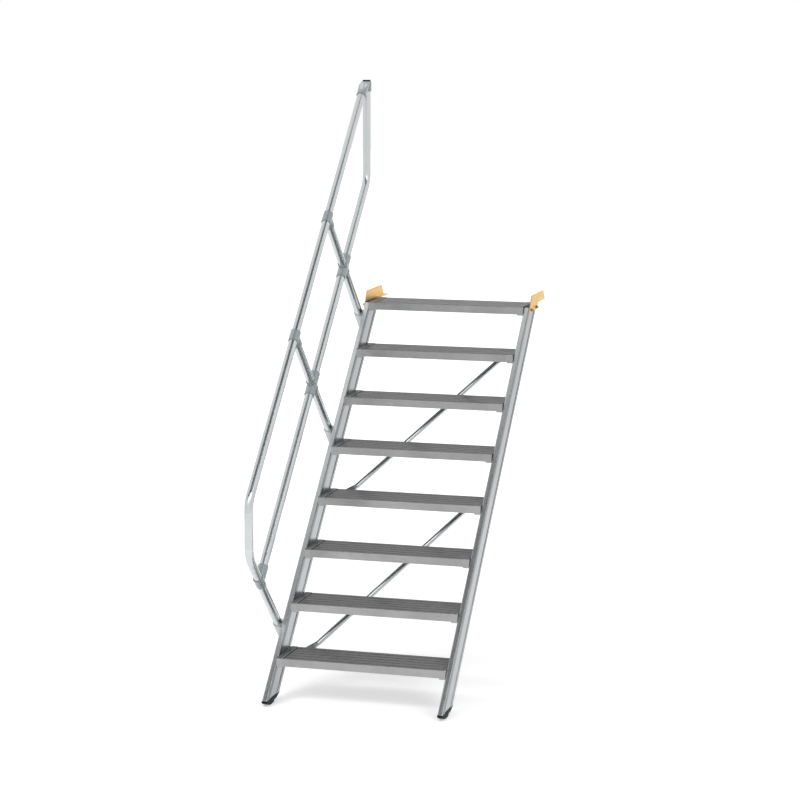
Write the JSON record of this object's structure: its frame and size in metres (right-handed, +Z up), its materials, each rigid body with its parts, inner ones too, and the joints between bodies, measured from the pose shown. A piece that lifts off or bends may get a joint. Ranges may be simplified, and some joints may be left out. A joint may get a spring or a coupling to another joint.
{
  "type": "industrial stair",
  "caption": "Straight 45 degree aluminium industrial stair with ribbed treads between box stiles, a tubular handrail with knee rail on one side, rear braces and steel top brackets.",
  "frame": {"origin": "middle of the flat underside of the left top bracket's flange, which lies on the platform floor", "axes": "+X to the right of someone climbing, +Y the way one climbs, +Z up; the platform floor is at z = 0 and the ground at z = -1.665"},
  "size_m": [0.9095, 2.052, 2.772],
  "materials": {
    "tread_aluminium": "satin",
    "cap_aluminium": "satin",
    "stile_aluminium": "satin",
    "tube_aluminium": "bright drawn",
    "brace_aluminium": "satin",
    "cast_aluminium": "cast, painted silver",
    "clamp_plastic": "moulded grey",
    "black_plastic": "moulded black",
    "yellow_steel": "yellow chromated"
  },
  "bodies": {
    "root": {"end_plugs": "black_plastic", "handrail": "tube_aluminium", "handrail_fittings": "clamp_plastic", "knee_rail": "tube_aluminium", "knee_rail_clamps": "clamp_plastic", "left_foot": "black_plastic", "left_stile": "stile_aluminium", "left_top_bracket": "yellow_steel", "left_tread_caps": "cap_aluminium", "lower_brace": "brace_aluminium", "middle_post": "tube_aluminium", "rail_brackets": "cast_aluminium", "right_foot": "black_plastic", "right_stile": "stile_aluminium", "right_top_bracket": "yellow_steel", "right_tread_caps": "cap_aluminium", "tread_1": "tread_aluminium", "tread_2": "tread_aluminium", "tread_3": "tread_aluminium", "tread_4": "tread_aluminium", "tread_5": "tread_aluminium", "tread_6": "tread_aluminium", "tread_7": "tread_aluminium", "tread_8": "tread_aluminium", "upper_brace": "brace_aluminium", "upper_post": "tube_aluminium"}
  },
  "joints": []
}
